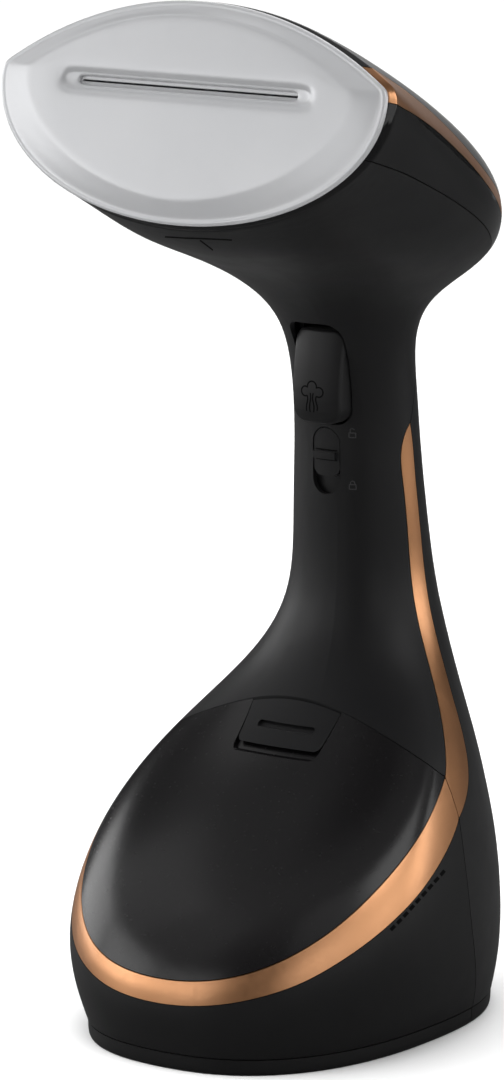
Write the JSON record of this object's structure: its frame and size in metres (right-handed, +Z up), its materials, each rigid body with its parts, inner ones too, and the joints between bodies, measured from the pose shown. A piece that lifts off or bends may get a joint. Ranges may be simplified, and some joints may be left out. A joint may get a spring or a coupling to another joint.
{
  "type": "garment steamer",
  "caption": "Handheld garment steamer that stands on its water tank, with a pointed oval steam plate, copper trims, trigger, lock slider and pull-off tank with latch.",
  "frame": {"origin": "centre of the bounding box on the floor plane", "axes": "+Z up, the steam plate and the tank face -Y, X is the mirror direction"},
  "size_m": [0.1638, 0.1755, 0.3706],
  "materials": {
    "matte_black": "soft-touch matte",
    "gloss_black": "polished gloss",
    "copper_trim": "satin copper-coloured plating",
    "plate_enamel": "satin light grey coated casting",
    "smoke_clear": "smoky see-through plastic, glossy",
    "skirt_black": "satin",
    "soft_rubber": "silicone",
    "cast_alloy": "as cast",
    "steel": "bright",
    "inner_plastic": "natural grey moulding",
    "board_green": "solder mask",
    "hose_clear": "soft milky hose"
  },
  "bodies": {
    "main_body": {"front_housing": "matte_black", "rear_housing": "gloss_black", "head_band": "gloss_black", "head_top_panel": "gloss_black", "head_trim": "copper_trim", "handle_trim_left": "copper_trim", "handle_trim_right": "copper_trim", "rear_foot": "skirt_black", "base_plate": "inner_plastic", "bay_wall": "skirt_black", "soleplate": "plate_enamel", "plate_gasket": "soft_rubber", "steam_chamber": "cast_alloy", "chamber_gasket": "soft_rubber", "chamber_cover": "cast_alloy", "heating_element": "steel", "thermostat": "steel", "thermal_fuse": "inner_plastic", "plate_screws": "steel", "base_screws": "steel", "trigger_pin": "steel", "trigger_spring": "steel", "trigger_cradle": "inner_plastic", "switch_body": "inner_plastic", "dock_seal": "soft_rubber", "pump": "inner_plastic", "pump_bracket": "inner_plastic", "water_hose": "hose_clear", "steam_tube": "hose_clear", "circuit_board": "board_green", "board_posts": "inner_plastic", "terminal_block": "inner_plastic", "cord_gland": "soft_rubber"},
    "water_tank": {"tank_dome": "smoke_clear", "tank_ring": "copper_trim", "tank_skirt": "skirt_black", "tank_back": "inner_plastic", "tank_floor": "inner_plastic", "tank_foot": "skirt_black", "tank_valve": "inner_plastic", "valve_seal": "soft_rubber", "filler_plug": "soft_rubber", "latch_spring": "steel"},
    "trigger_body": {"trigger": "matte_black"},
    "plunger": {"switch_plunger": "soft_rubber"},
    "slider_body": {"lock_slider": "matte_black"},
    "latch_body": {"tank_latch": "gloss_black"}
  },
  "joints": [
    {"name": "tank_slide", "type": "slide", "parent": "main_body", "child": "water_tank", "axis": [0, -1, 0], "range_m": [0, 0.15]},
    {"name": "trigger_hinge", "type": "hinge", "parent": "main_body", "child": "trigger_body", "pos_m": [0, 0.02405, 0.2452], "axis": [1, 0, 0], "range_deg": [0, 6], "stiffness_Nm_per_rad": 0.6, "springref_deg": -5.73, "deforming": ["trigger_spring"]},
    {"name": "switch_travel", "type": "slide", "parent": "main_body", "child": "plunger", "axis": [0, 1, 0], "range_m": [0, 0.0027]},
    {"name": "lock_travel", "type": "slide", "parent": "main_body", "child": "slider_body", "axis": [0, 0, -1], "range_m": [0, 0.0048]},
    {"name": "latch_travel", "type": "slide", "parent": "water_tank", "child": "latch_body", "axis": [0, 0, -1], "range_m": [0, 0.0012], "stiffness_N_per_m": 600, "springref_m": -0.002, "deforming": ["latch_spring"]}
  ],
  "couplings": [
    {"joint": "switch_travel", "follows": "trigger_hinge", "m_per_rad": 0.0242}
  ]
}
